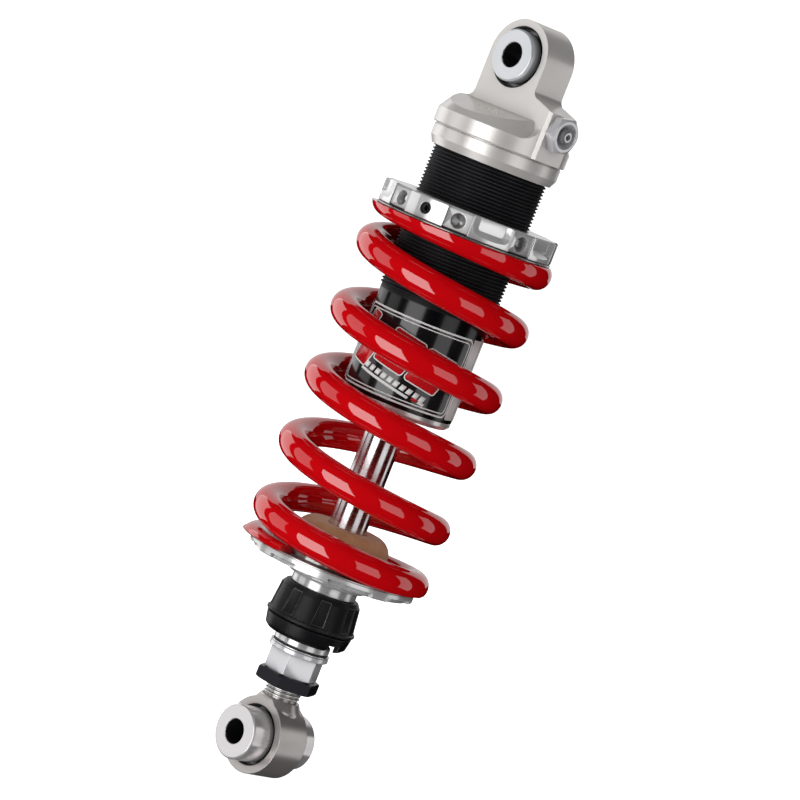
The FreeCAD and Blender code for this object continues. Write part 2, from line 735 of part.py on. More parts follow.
def spring_seats():
    """Steel washer under the preload ring, seat washer, lower spring seat, bump stop."""
    ring("thrust_washer", S.thread_dia / 2 + 0.3, 38.0,
         S.spring_top + S.washer_gap, S.ring_foot - S.washer_gap, 0.2)
    rod = S.rod_dia / 2 + S.running_gap
    seat, outer = S.spring_foot - 0.8, S.seat_dia / 2
    ring("seat_washer", 27.8, outer, seat, S.spring_foot - S.washer_gap, 0.15)
    body = turned("spring_seat", [
        (rod, S.seat_hub_foot), (16.4, S.seat_hub_foot), (17.0, S.seat_hub_foot + 0.8),
        (31.0, S.seat_foot - 0.5), (outer - 0.4, S.seat_foot), (outer, S.seat_foot + 0.4),
        (outer, seat), (27.6, seat), (27.6, -218.6), (27.0, -218.0),
        (24.0, -218.0), (24.0, seat), (rod, seat)])
    gap = outlined(body, "XZ_Plane", [
        (33.8, S.seat_foot - 2), (40, S.seat_foot - 2), (40, S.seat_foot + 1.8),
        (33.8, S.seat_foot + 1.8)])
    gap.AttachmentOffset = Placement(Vector(), Rotation(Vector(0, 1, 0), LOBE))
    around(body, spun(body, "Groove", gap, 32), 8)
    place(body, turn=number(S.ring_turn))

    top = S.bumper_top
    bumper = turned("bump_stop", [
        (rod + 0.1, seat), (20.6, seat), (21.0, seat + 0.6), (20.4, top - 6.3, 7.5),
        (15.9, top), (rod + 0.6, top), (rod + 0.1, top - 0.5)])
    place(bumper)
    ring("seat_collar", rod, S.collar_dia / 2, S.collar_foot, S.seat_hub_foot, 0.4)


def rod_end():
    """Stem under the spring seat that carries the knob, the clicks and the adjuster."""
    stem, passage, shaft = S.stem_dia / 2, 3.1, S.rod_dia / 2
    rod_foot, spigot = -237.0, 9.6
    clip_low, clip_high = -261.1, -260.0
    body = turned("rod_end", [
        (shaft, S.collar_foot), (stem, S.collar_foot), (stem, S.retainer_foot),
        (spigot, S.retainer_foot), (spigot, clip_high), (spigot - 0.5, clip_high),
        (spigot - 0.5, clip_low), (spigot, clip_low), (spigot, -261.9),
        (shaft, -261.9), (shaft, -246.5), (passage, -246.5), (passage, rod_foot),
        (shaft, rod_foot)])
    half, travel = 1.55, 1.6
    low, high = S.pin_height - travel, S.pin_height + travel
    slot = outlined(body, "XZ_Plane", [
        (-half, low, half), (0, low - half, half), (half, low),
        (half, high, half), (0, high + half, half), (-half, high)])
    extruded(body, "Pocket", slot, 40, symmetric=True)
    place(body)
    ring("adjuster_clip", spigot - 0.45, spigot + 0.5, clip_low + 0.1, clip_high - 0.1,
         angle=320)

    needle = turned("metering_rod", [
        (0, -243.0), (2.9, -243.0), (2.9, -104.0), (0.8, -98.0), (0, -98.0)])
    cross = sketch_on(needle, "XZ_Plane")
    circle(cross, 0, S.pin_height, 1.5)
    extruded(needle, "Pocket", cross, 20, symmetric=True)
    place(needle)
    pin = DOC.addObject("Part::Cylinder", "metering_cross_pin")
    pin.Label = "metering_cross_pin"
    pin.Radius = 1.48
    pin.Height = 26.0
    pin.Placement = Placement(Vector(0, 13, number(S.pin_height)), Rotation(Vector(1, 0, 0), 90))
    bind(pin, ".Placement.Base.z", S.pin_height)
    PIECES.append(pin)


def rebound_knob():
    """Fluted black knob, the wire ring at its top, the click ring and the retainer."""
    bore, flange, foot = S.stem_dia / 2 + 0.08, 19.3, S.knob_foot
    skirt = foot + 1.6
    pocket_low, pocket_high = S.pin_height - 3, S.pin_height + 3
    body = turned("rebound_knob", [
        (bore, foot), (flange - 0.4, foot), (flange, foot + 0.4), (flange, skirt - 0.3),
        (18.5, skirt), (17.3, -236.0), (15.8, S.collar_foot - 0.05),
        (bore, S.collar_foot - 0.05),
        (bore, pocket_high), (13.4, pocket_high), (13.4, pocket_low), (bore, pocket_low)])
    flute = outlined(body, "YZ_Plane", [(-3.0, -5.0), (2.3, -5.0), (2.3, 5.6), (-2.0, 5.6)])
    taper = Rotation(Vector(1, 0, 0), -6.3)
    flute.AttachmentOffset = Placement(Vector(0, -241.2, 17.1), taper)
    around(body, extruded(body, "Pocket", flute, 5, reverse=True), 8)
    place(body, turn=9.4)

    low = S.click_foot
    click = turned("click_ring", [
        (S.stem_dia / 2, low + 4.5), (15.4, low + 4.5), (15.4, low), (15.9, low),
        (17.6, low + 1.4), (18.6, foot - 0.8), (18.3, foot - 0.5), (S.stem_dia / 2, foot - 0.5)])
    notch = outlined(click, "XZ_Plane", [
        (10, low - 1), (30, low - 1), (30, low + 3), (10, low + 3)])
    spun(click, "Groove", notch, 20)
    place(click)
    ring("knob_retainer", S.stem_dia / 2, S.retainer_dia / 2, S.retainer_foot, low - 0.1, 0.4)


def length_adjuster():
    """Hexagon sleeve nut with its seal, and the thin nut that locks the lower eye."""
    hole = S.shank_dia / 2 + 0.1
    flange, top, foot = S.hex_flange_dia / 2, S.hex_top, S.hex_foot
    body = new_body("length_adjuster")
    hexagon = sketch_on(body, "XY_Plane", offset=foot)
    polygon(hexagon, 6, S.hex_flats)
    extruded(body, "Pad", hexagon, top - foot)
    corner = number(S.hex_flats) / math.sqrt(3)
    spun(body, "Groove", outlined(body, "XZ_Plane", [
        (corner - 1.2, foot), (corner + 2, foot), (corner + 2, foot + 1.6)]))
    face = S.retainer_foot - 1.2
    spun(body, "Revolution", outlined(body, "XZ_Plane", [
        (9.7, top), (flange - 0.4, top), (flange, top + 0.4), (flange, face - 0.3),
        (flange - 0.3, face), (9.7, face)]))
    spun(body, "Groove", outlined(body, "XZ_Plane", [
        (0, foot - 1), (hole, foot - 1), (hole, -262.0), (9.7, -262.0), (9.7, -261.2),
        (10.15, -261.2), (10.15, -259.9), (9.7, -259.9), (9.7, face + 1), (0, face + 1)]))
    place(body)
    ring("adjuster_seal", 9.65, 12.5, face + 0.05, S.retainer_foot - 0.05)

    nut = new_body("jam_nut")
    hexagon = sketch_on(nut, "XY_Plane", offset=S.nut_foot)
    polygon(hexagon, 6, S.nut_flats)
    extruded(nut, "Pad", hexagon, foot - 0.05 - S.nut_foot)
    corner = number(S.nut_flats) / math.sqrt(3)
    high = foot - 0.05
    for edge, inward in ((S.nut_foot, 0.7), (high, -0.7)):
        spun(nut, "Groove", outlined(nut, "XZ_Plane", [
            (corner - 1.2, edge), (corner + 2, edge), (corner + 2, edge + inward * 2)]))
    spun(nut, "Groove", outlined(nut, "XZ_Plane", [
        (0, S.nut_foot - 1), (hole + 0.5, S.nut_foot - 1), (hole + 0.5, S.nut_foot),
        (hole, S.nut_foot + 0.5), (hole, high - 0.5), (hole + 0.5, high),
        (hole + 0.5, high + 1), (0, high + 1)]))
    place(nut)


def lower_eye():
    """Lower eye: bearing ring on a coned neck with the threaded shank above it."""
    body = new_body("lower_eye")
    eye, width = S.lower_eye_dia / 2, S.lower_width
    shank, neck = S.shank_dia / 2, S.neck_height + S.eye_spacing
    shank_top = S.shank_top + S.eye_spacing
    spun(body, "Revolution", outlined(body, "XZ_Plane", [
        (0, 10), (10.4, 10), (10.4, neck - 3), (8.3, neck + 0.7), (shank, neck + 0.7),
        (shank - 0.5, neck + 1.0), (shank - 0.5, neck + 2.0), (shank, neck + 2.4),
        (shank, shank_top - 1), (shank - 1, shank_top), (0, shank_top)]))
    for sign in (-1, 1):
        face = outlined(body, "YZ_Plane", [
            (sign * width / 2, 5), (sign * (width / 2 + 12), 5),
            (sign * (width / 2 + 12), neck), (sign * width / 2, neck)])
        extruded(body, "Pocket", face, 60, symmetric=True)
    disc = sketch_on(body, "XZ_Plane")
    circle(disc, 0, 0, eye)
    extruded(body, "Pad", disc, width, symmetric=True)
    bore_eye(body, width)
    place(body, -S.eye_spacing)


def export():
    """Check every object and write one STEP file for each sub-part."""
    DOC.recompute()
    os.makedirs("parts", exist_ok=True)
    broken = [item.Name for item in DOC.Objects if {"Invalid", "Error"} & set(item.State)]
    if broken:
        raise RuntimeError(f"these objects did not compute: {broken}")
    for piece in PIECES:
        shape = piece.Shape
        if shape.isNull() or not shape.isValid() or shape.Volume <= 0:
            raise RuntimeError(f"{piece.Label} has no valid solid")
        print(f"{piece.Label:26s} {len(shape.Solids)} solid(s) {shape.Volume:10.2f} mm3")
        shape.exportStep(f"parts/{piece.Label}.step")



upper_head()
bearing("upper", 0, S.upper_width, S.upper_stack, S.upper_flange)
gas_valve()
damper_tube()
rod_and_piston()
coil_spring()
preload_ring()
spring_seats()
rod_end()
rebound_knob()
length_adjuster()
lower_eye()
bearing("lower", -S.eye_spacing, S.lower_width, S.lower_stack, S.lower_flange)
export()
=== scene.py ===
"""Looks for the motorcycle rear shock: materials, detailed pieces, light and camera.

Everything is in metres in the CAD frame. Heights and radii below are written in millimetres
and multiplied by MM where a mesh is made.
"""
import json
import math

import bmesh
import bpy
from mathutils import Matrix, Vector

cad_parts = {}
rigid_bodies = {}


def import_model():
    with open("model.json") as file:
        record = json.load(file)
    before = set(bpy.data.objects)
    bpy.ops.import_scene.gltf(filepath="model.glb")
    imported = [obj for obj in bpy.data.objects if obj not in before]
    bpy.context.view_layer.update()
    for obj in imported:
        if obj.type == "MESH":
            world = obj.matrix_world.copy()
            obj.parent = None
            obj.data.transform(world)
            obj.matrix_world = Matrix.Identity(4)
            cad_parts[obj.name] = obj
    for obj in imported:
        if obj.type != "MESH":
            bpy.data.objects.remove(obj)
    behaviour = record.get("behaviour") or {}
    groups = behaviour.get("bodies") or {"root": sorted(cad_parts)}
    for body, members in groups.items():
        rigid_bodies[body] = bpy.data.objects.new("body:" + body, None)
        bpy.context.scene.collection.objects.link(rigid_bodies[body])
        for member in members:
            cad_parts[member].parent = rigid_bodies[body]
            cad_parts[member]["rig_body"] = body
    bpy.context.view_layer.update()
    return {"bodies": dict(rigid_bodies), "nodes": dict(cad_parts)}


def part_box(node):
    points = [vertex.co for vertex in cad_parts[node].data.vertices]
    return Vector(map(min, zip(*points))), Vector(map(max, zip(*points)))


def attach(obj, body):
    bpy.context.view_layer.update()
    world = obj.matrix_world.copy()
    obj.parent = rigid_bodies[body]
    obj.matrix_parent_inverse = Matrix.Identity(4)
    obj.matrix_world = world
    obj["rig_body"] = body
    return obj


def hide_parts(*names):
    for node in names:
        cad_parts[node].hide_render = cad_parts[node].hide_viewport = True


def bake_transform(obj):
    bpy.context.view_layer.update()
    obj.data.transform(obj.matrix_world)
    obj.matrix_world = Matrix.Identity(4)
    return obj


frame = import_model()
NODES = frame["nodes"]
MM = 0.001


def box_mm(node):
    """Lowest and highest corner of a CAD node, in millimetres."""
    low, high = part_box(node)
    return low / MM, high / MM


EYE_SPACING = -(box_mm("lower_bearing_ball")[0].z + box_mm("lower_bearing_ball")[1].z) / 2
THREAD_CREST, THREAD_ROOT, THREAD_PITCH = 24.75, 23.9, 1.5
TUBE_R, TUBE_BORE, TUBE_FOOT, THREAD_FOOT, TUBE_TOP = 23.95, 20.0, -150.0, -106.9, -31.6

# ---------------------------------------------------------------- camera, stage and light

VIEW_AZIMUTH = 43.4
VIEW_DISTANCE = 1.5335
VIEW_HEIGHT = -0.0104
VIEW_PITCH = 5.15
VIEW_ROLL = 21.525
VIEW_YAW = 0.03
VIEW_FIELD = 12.22
SENSOR_WIDTH = 36.0

FLOOR_STEPS = 48
FLOOR_RADIUS, WALL_BEND, WALL_HEIGHT = 3.0, 2.0, 8.0
EYE_UNDERSIDE = 0.0166
PAPER_WHITE = 0.9
AMBIENT = 0.30

LIGHT_CENTRE = Vector((0, 0, -0.15))
LIGHT_DISTANCE = 1.3
# Name, azimuth from the camera's, elevation, width and height in metres, radiance.
LIGHTS = [
    ("key_left", -33, -14, 0.90, 1.5, 2.7),
    ("front_left", -86, 0, 0.70, 1.4, 0.75),
    ("fill_right", 42, 0, 0.74, 1.2, 0.95),
    ("rim_right", 100, 0, 0.50, 1.3, 0.8),
    ("rim_left", -130, 0, 0.80, 1.4, 1.2),
    ("back", 180, 20, 1.70, 1.2, 0.7),
    ("overhead", -60, 60, 1.40, 1.2, 0.7),
]


def direction(azimuth, elevation=0.0):
    """Unit vector from the object; azimuth 0 is -Y, and 90 is +X."""
    a, e = math.radians(azimuth), math.radians(elevation)
    return Vector((math.sin(a) * math.cos(e), -math.cos(a) * math.cos(e), math.sin(e)))


def make_camera():
    """Long-lens camera at the photograph's angle, rolled so that the shock leans right."""
    data = bpy.data.cameras.new("studio_camera")
    data.sensor_width = SENSOR_WIDTH
    data.lens = data.sensor_width / 2 / math.tan(math.radians(VIEW_FIELD / 2))
    data.clip_start, data.clip_end = 0.05, 60.0
    camera = bpy.data.objects.new("studio_camera", data)
    bpy.context.scene.collection.objects.link(camera)
    flat = -direction(VIEW_AZIMUTH - VIEW_YAW)
    pitch, roll = math.radians(VIEW_PITCH), math.radians(VIEW_ROLL)
    forward = flat * math.cos(pitch) - Vector((0, 0, 1)) * math.sin(pitch)
    right = forward.cross(Vector((0, 0, 1))).normalized()
    up = right.cross(forward)
    across = right * math.cos(roll) + up * math.sin(roll)
    upward = up * math.cos(roll) - right * math.sin(roll)
    turn = Matrix((across, upward, -forward)).transposed().to_4x4()
    place = direction(VIEW_AZIMUTH) * VIEW_DISTANCE + Vector((0, 0, VIEW_HEIGHT))
    camera.matrix_world = Matrix.Translation(place) @ turn
    bpy.context.scene.camera = camera


def link(obj):
    """Put an object into the scene."""
    bpy.context.scene.collection.objects.link(obj)
    return obj


def softbox(name, azimuth, elevation, width, height, radiance):
    """Rectangular studio light that faces the middle of the shock."""
    data = bpy.data.lights.new(name, "AREA")
    data.shape = "RECTANGLE"
    data.size, data.size_y = width, height
    data.energy = radiance * math.pi * width * height
    light = link(bpy.data.objects.new(name, data))
    back = direction(azimuth, elevation)
    light.location = LIGHT_CENTRE + back * LIGHT_DISTANCE
    light.rotation_mode = "QUATERNION"
    light.rotation_quaternion = (-back).to_track_quat("-Z", "Y")
    return light


def make_stage():
    """Seamless white bowl under and round the shock, and soft light from several sides."""
    steps = FLOOR_STEPS
    foot = -EYE_SPACING * MM - EYE_UNDERSIDE
    profile = [(0.0, foot), (FLOOR_RADIUS, foot)]
    profile += [(FLOOR_RADIUS + WALL_BEND * math.sin(math.radians(a)),
                 foot + WALL_BEND - WALL_BEND * math.cos(math.radians(a)))
                for a in range(10, 100, 10)]
    profile.append((FLOOR_RADIUS + WALL_BEND, foot + WALL_HEIGHT))
    verts = [(r * math.cos(2 * math.pi * i / steps), r * math.sin(2 * math.pi * i / steps), z)
             for r, z in profile for i in range(steps)]
    faces = [(j * steps + i, j * steps + (i + 1) % steps,
              (j + 1) * steps + (i + 1) % steps, (j + 1) * steps + i)
             for j in range(len(profile) - 1) for i in range(steps)]
    mesh = bpy.data.meshes.new("studio_floor")
    mesh.from_pydata(verts, [], faces)
    mesh.polygons.foreach_set("use_smooth", [True] * len(mesh.polygons))
    floor = link(bpy.data.objects.new("studio_floor", mesh))
    material = bpy.data.materials.new("white_paper")
    material.use_nodes = True
    shader = material.node_tree.nodes["Principled BSDF"]
    shader.inputs["Base Color"].default_value = (PAPER_WHITE, PAPER_WHITE, PAPER_WHITE, 1)
    shader.inputs["Roughness"].default_value = 0.9
    shader.inputs["Emission Color"].default_value = (1, 1, 1, 1)
    shader.inputs["Emission Strength"].default_value = 1.0
    mesh.materials.append(material)
    floor.visible_glossy = False
    floor.visible_diffuse = False
    floor.visible_shadow = False

    world = bpy.data.worlds.new("studio")
    bpy.context.scene.world = world
    world.use_nodes = True
    background = world.node_tree.nodes["Background"]
    background.inputs["Color"].default_value = (1.0, 1.0, 1.0, 1)
    background.inputs["Strength"].default_value = AMBIENT
    world.cycles_visibility.glossy = False
    bpy.context.scene.view_settings.view_transform = "Standard"

    for name, turn, elevation, width, height, radiance in LIGHTS:
        light = softbox(name, VIEW_AZIMUTH + turn, elevation, width, height, radiance)
        light.visible_glossy = name != "overhead"


make_camera()
make_stage()

# ---------------------------------------------------------------- materials


class Shade:
    """Short way to write one material's node tree."""

    def __init__(self, name):
        self.material = bpy.data.materials.new(name)
        self.material.use_nodes = True
        self.nodes = self.material.node_tree.nodes
        self.links = self.material.node_tree.links
        self.shader = self.nodes["Principled BSDF"]

    def set(self, **sockets):
        """Set shader sockets; underscores stand for spaces."""
        for name, value in sockets.items():
            socket = self.shader.inputs[name.replace("_", " ")]
            socket.default_value = (*value, 1.0) if isinstance(value, tuple) else value
        return self

    def node(self, kind, inputs=None, **settings):
        """Make one node with its settings and input links or values."""
        made = self.nodes.new(f"ShaderNode{kind}")
        for name, value in settings.items():
            setattr(made, name, value)
        for name, value in (inputs or {}).items():
            if isinstance(value, bpy.types.NodeSocket):
                self.links.new(value, made.inputs[name])
            else:
                made.inputs[name].default_value = value
        return made

    def math(self, operation, first, second=0.0):
        """One math node's result."""
        return self.node("Math", {0: first, 1: second}, operation=operation).outputs[0]

    def position(self):
        """Coordinates in the CAD frame at rest, in metres."""
        return self.node("TexCoord").outputs["Object"]

    def polar(self, axis="Z", height=0.0):
        """(radius, angle, distance along) about the damper axis, or about a bolt."""
        split = self.node("SeparateXYZ", {0: self.position()}).outputs
        if axis == "Z":
            first, second, along = split[0], split[1], split[2]
        else:
            first, along = split[0], split[1]
            second = self.math("SUBTRACT", split[2], height)
        squares = self.math("ADD", self.math("MULTIPLY", first, first),
                            self.math("MULTIPLY", second, second))
        return self.math("SQRT", squares), self.math("ARCTAN2", second, first), along

    def noise(self, vector, scale, detail=2.0, roughness=0.5):
        """Noise between 0 and 1 at a scale in cells per metre."""
        return self.node("TexNoise", {"Vector": vector, "Scale": scale, "Detail": detail,
                                      "Roughness": roughness}).outputs["Fac"]

    def ramp(self, value, low, high, start=0.0, end=1.0):
        """Map a value from start..end to low..high."""
        return self.node("MapRange", {"Value": value, "From Min": start, "From Max": end,
                                      "To Min": low, "To Max": high}).outputs[0]

    def mix(self, factor, first, second):
        """Mix of two colours."""
        made = self.node("Mix", data_type="RGBA")
        for index, value in ((0, factor), (6, first), (7, second)):
            if isinstance(value, bpy.types.NodeSocket):
                self.links.new(value, made.inputs[index])
            else:
                made.inputs[index].default_value = (
                    (*value, 1.0) if isinstance(value, tuple) else value)
        return made.outputs[2]

    def feed(self, socket, value):
        """Link a value into a shader socket."""
        self.links.new(value, self.shader.inputs[socket])

    def edges(self, radius):
        """Normal rounded over the edges, and a mask that is 1 on the edges themselves."""
        soft = self.node("Bevel", {"Radius": radius * MM}, samples=6).outputs[0]
        face = self.node("NewGeometry").outputs["Normal"]
        same = self.node("VectorMath", {0: soft, 1: face}, operation="DOT_PRODUCT")
        return soft, self.ramp(same.outputs["Value"], 1.0, 0.0, 0.90, 0.995)

    def painted_crevice_shade(self, reach, floor):
        """Factor that falls to floor deep in holes and corners: painted shade where ambient
        light is blocked.
        """
        open_sky = self.node("AmbientOcclusion", {"Distance": reach * MM}, samples=6)
        return self.ramp(open_sky.outputs["AO"], floor, 1.0, 0.25, 0.9)

    def tinted(self, color, factor):
        """Colour multiplied by a factor."""
        return self.node("VectorMath", {0: color, "Scale": factor},
                         operation="SCALE").outputs["Vector"]

    def bump(self, height, distance, strength, normal=None):
        """Link a bump of a height field in metres into the shader."""
        inputs = {"Height": height, "Distance": distance, "Strength": strength}
        if normal is not None:
            inputs["Normal"] = normal
        made = self.node("Bump", inputs)
        self.links.new(made.outputs[0], self.shader.inputs["Normal"])


def streaks(shade, axis, height, rings):
    """Noise in fine rings about an axis, as a lathe tool leaves; rings is cells per metre."""
    radius, angle, travel = shade.polar(axis, height)
    vector = shade.node("CombineXYZ", {
        0: shade.math("MULTIPLY", radius, rings),
        1: shade.math("MULTIPLY", angle, 0.6),
        2: shade.math("MULTIPLY", travel, rings)}).outputs[0]
    return shade.noise(vector, 1.0, 3.0, 0.6)


def turned_metal(name, color, roughness, axis="Z", height=0.0, metallic=0.75, bore=0.0,
                 floor=0.35, rings=1400, depth=0.0000012):
    """Metal with fine turning marks about the damper axis or a bolt.

    It is dark nearer the axis than bore, as painted shade inside the bore; corners get painted
    shade and edges a painted highlight. rings is the marks' cells per metre.
    """
    shade = Shade(name).set(Metallic=metallic, Anisotropic=0.55, Anisotropic_Rotation=0.25)
    shade.feed("Tangent", shade.node("Tangent", direction_type="RADIAL", axis=axis).outputs[0])
    marks = streaks(shade, axis, height, rings)
    broad = shade.noise(shade.position(), 60.0, 3.0)
    base = shade.mix(broad, color, tuple(c * 0.90 for c in color))
    # Painted shade: a near-black colour inside the bore.
    if bore:
        radius = shade.polar(axis, height)[0]
        base = shade.mix(shade.ramp(radius, 1.0, 0.0, bore, bore + 0.0002), base,
                         (0.035, 0.035, 0.038))
    # Painted shade in corners, and a painted highlight as a lighter colour on every edge.
    normal, edge = shade.edges(0.30)
    base = shade.mix(edge, shade.tinted(base, shade.painted_crevice_shade(5.0, floor)),
                     tuple(min(1.0, c * 1.08) for c in color))
    shade.feed("Base Color", base)
    shade.feed("Roughness", shade.ramp(marks, roughness * 0.85, roughness * 1.2, 0.3, 0.7))
    shade.bump(marks, depth, 0.6, normal)
    return shade.material


def ground_chrome():
    """Hard chrome ground round the rod: reflections smear along it."""
    shade = Shade("ground_chrome").set(
        Metallic=1.0, Anisotropic=0.9, Anisotropic_Rotation=0.25)
    tangent = shade.node("Tangent", direction_type="RADIAL", axis="Z")
    shade.feed("Tangent", tangent.outputs[0])
    marks = streaks(shade, "Z", 0.0, 5200)
    shade.feed("Base Color", shade.mix(marks, (0.86, 0.86, 0.88), (0.78, 0.78, 0.80)))
    shade.feed("Roughness", shade.ramp(marks, 0.20, 0.28, 0.3, 0.7))
    return shade.material


def blasted_metal(name, color, roughness, metallic, floor=0.45, radius=0.45, reach=6.0):
    """Bead-blasted or milled metal: fine even grain, painted shade in corners and a painted
    highlight on edges.
    """
    shade = Shade(name).set(Metallic=metallic)
    grain = shade.noise(shade.position(), 2600.0, 2.0, 0.6)
    broad = shade.noise(shade.position(), 45.0, 4.0, 0.6)
    base = shade.mix(broad, color, tuple(c * 0.92 for c in color))
    # Painted shade in corners, and a painted highlight as a lighter colour on every edge.
    normal, edge = shade.edges(radius)
    base = shade.mix(edge, shade.tinted(base, shade.painted_crevice_shade(reach, floor)),
                     tuple(min(1.0, c * 1.12) for c in color))
    shade.feed("Base Color", base)
    shade.feed("Roughness", shade.ramp(broad, roughness * 0.88, roughness * 1.15, 0.3, 0.7))
    shade.bump(grain, 0.000003, 0.5, normal)
    return shade.material


def thread_anodised():
    """Black anodised tube: glossy below, dull on the thread, with lighter crests that are
    partly rubbed wear and partly a painted highlight.
    """
    shade = Shade("black_anodised").set(Metallic=0.0, Specular_IOR_Level=0.5)
    radius, _, height = shade.polar()
    # Lighter crests: rubbed wear mottled by noise, and partly a painted highlight along the
    # thread lines.
    crest = shade.ramp(radius, 0.0, 1.0, (THREAD_CREST - 0.3) * MM, (THREAD_CREST - 0.05) * MM)
    wear = shade.noise(shade.position(), 90.0, 3.0)
    shade.feed("Base Color", shade.mix(
        shade.math("MULTIPLY", crest, shade.ramp(wear, 0.4, 1.0, 0.3, 0.7)),
        (0.003, 0.003, 0.004), (0.040, 0.040, 0.045)))
    threaded = shade.ramp(height, 0.0, 1.0, (THREAD_FOOT - 0.9) * MM, (THREAD_FOOT - 0.1) * MM)
    shade.feed("Specular IOR Level", shade.ramp(threaded, 0.5, 0.22))
    shade.feed("Roughness", shade.math(
        "ADD", shade.ramp(wear, 0.15, 0.20, 0.3, 0.7), shade.math("MULTIPLY", threaded, 0.36)))
    return shade.material


def edged_black(name, color, roughness, metallic, line, radius=0.22):
    """Black part whose edges carry a lighter line: partly wear, partly a painted highlight."""
    shade = Shade(name).set(Metallic=metallic, Specular_IOR_Level=0.22)
    grain = shade.noise(shade.position(), 1500.0, 3.0, 0.6)
    patches = shade.noise(shade.position(), 160.0, 3.0)
    normal, edge = shade.edges(radius)
    # Lighter edge line: wear in patches, and partly a painted highlight, on hollow edges as
    # well as outer ones.
    wear_and_edge_highlight = shade.math("MULTIPLY", edge, shade.ramp(patches, 0.35, 1.0, 0.35, 0.65))
    shade.feed("Base Color", shade.mix(wear_and_edge_highlight, color, line))
    shade.feed("Roughness", shade.ramp(grain, roughness * 0.85, roughness * 1.2, 0.3, 0.7))
    shade.bump(grain, 0.000004, 0.6, normal)
    return shade.material


def plain_finish(name, color, metallic, roughness, scale=900.0, depth=0.00001, **sockets):
    """Even finish with a fine grain and a faint change of colour and gloss."""
    shade = Shade(name).set(Metallic=metallic, **sockets)
    grain = shade.noise(shade.position(), scale, 3.0, 0.6)
    broad = shade.noise(shade.position(), 80.0, 3.0)
    shade.feed("Base Color", shade.mix(broad, color, tuple(c * 0.80 for c in color)))
    shade.feed("Roughness", shade.ramp(grain, roughness * 0.8, roughness * 1.2, 0.3, 0.7))
    shade.bump(grain, depth, 0.7)
    return shade.material


def red_enamel():
    """Glossy red powder coat under clear: slight orange peel and depth in the colour."""
    shade = Shade("red_enamel").set(
        Metallic=0.0, Specular_IOR_Level=0.0, Coat_Weight=1.0, Coat_Roughness=0.03,
        Coat_IOR=1.9)
    peel = shade.noise(shade.position(), 420.0, 2.0, 0.5)
    broad = shade.noise(shade.position(), 30.0, 3.0)
    shade.feed("Base Color", shade.mix(broad, (0.66, 0.003, 0.006), (0.56, 0.002, 0.005)))
    shade.feed("Roughness", shade.ramp(peel, 0.34, 0.46, 0.3, 0.7))
    shade.bump(peel, 0.00002, 0.25)
    return shade.material


def cellular_foam():
    """Tan microcellular polyurethane: pores, mottling and a soft sheen."""
    shade = Shade("cellular_foam").set(Metallic=0.0, Roughness=0.62, Sheen_Weight=0.15)
    fine = shade.noise(shade.position(), 2600.0, 3.0, 0.6)
    broad = shade.noise(shade.position(), 120.0, 4.0, 0.6)
    shade.feed("Base Color", shade.mix(
        shade.ramp(broad, 0.0, 1.0, 0.3, 0.7), (0.66, 0.42, 0.22), (0.52, 0.30, 0.14)))
    shade.bump(fine, 0.00006, 0.6)
    return shade.material


# bore darkens the spacers' bores as painted shade; floor sets how dark the painted corner
# shade goes.
SPACER_TURNING = {"axis": "Y", "metallic": 0.65, "bore": 0.0053, "floor": 0.5,
                  "rings": 3600, "depth": 0.0000002}

MAT = {
    "head": blasted_metal("blasted_aluminium", (0.84, 0.81, 0.78), 0.30, 0.50, radius=0.28),
    "lower": blasted_metal("brushed_lower_eye", (0.70, 0.66, 0.635), 0.28, 0.80),
    "thread": blasted_metal("rolled_thread", (0.90, 0.89, 0.88), 0.22, 0.55,
                            floor=0.10, radius=0.10, reach=1.3),
    "rod": ground_chrome(),
    "turned": turned_metal("turned_aluminium", (0.88, 0.88, 0.88), 0.24, metallic=0.6),
    "ring": turned_metal("polished_ring", (0.97, 0.97, 0.97), 0.19, metallic=0.60, floor=0.12),
    "hexagon": blasted_metal("milled_hexagon", (0.82, 0.81, 0.84), 0.20, 0.45, floor=0.3),
    # The upper spacer's bluish tint and the lower spacer's pinkish tint are painted reflection
    # colour.
    "upper_bolt": turned_metal("turned_spacer_upper", (0.88, 0.90, 0.94), 0.20,
                               **SPACER_TURNING),
    "lower_bolt": turned_metal("turned_spacer_lower", (0.90, 0.87, 0.88), 0.18,
                               height=-EYE_SPACING * MM, **SPACER_TURNING),
    "ball": plain_finish("bearing_ball", (0.05, 0.05, 0.055), 1.0, 0.2),
    "steel": turned_metal("ground_steel", (0.66, 0.65, 0.64), 0.24),
    "chrome": plain_finish("hard_chrome", (0.80, 0.80, 0.82), 0.8, 0.17, 500.0, 0.000002),
    "black_anodised": thread_anodised(),
    "black_plastic": edged_black("moulded_black", (0.005, 0.005, 0.006), 0.36, 0.0,
                                 line=(0.30, 0.30, 0.31), radius=0.34),
    "black_steel": edged_black("black_oxide", (0.018, 0.017, 0.023), 0.28, 0.40,
                               line=(0.24, 0.24, 0.25)),
    "rubber": plain_finish("seal_rubber", (0.012, 0.012, 0.012), 0.0, 0.48, 2600.0, 0.00003),
    "bronze": plain_finish("sintered_bronze", (0.60, 0.42, 0.20), 1.0, 0.35),
    "film": plain_finish("label_black", (0.012, 0.012, 0.013), 0.0, 0.14, 700.0, 0.000002,
                         Specular_IOR_Level=0.6, Coat_Weight=0.4, Coat_Roughness=0.05),
    "film_white": plain_finish("label_silver", (0.93, 0.98, 0.98), 0.0, 0.45, 700.0, 0.000002,
                               Specular_IOR_Level=0.3),
    "film_red": plain_finish("label_red", (0.62, 0.010, 0.014), 0.0, 0.25, 700.0, 0.000002),
    "red": red_enamel(),
    "foam": cellular_foam(),
}

# ---------------------------------------------------------------- mesh helpers

LATHE_SEGMENTS, TUBE_SEGMENTS = 128, 160
RIDGE_STEPS = 72
RIDGE_SINK, RIDGE_START = 0.2, 0.05
WELD_DISTANCE = 2e-6
FLAT_ANGLE = 0.6


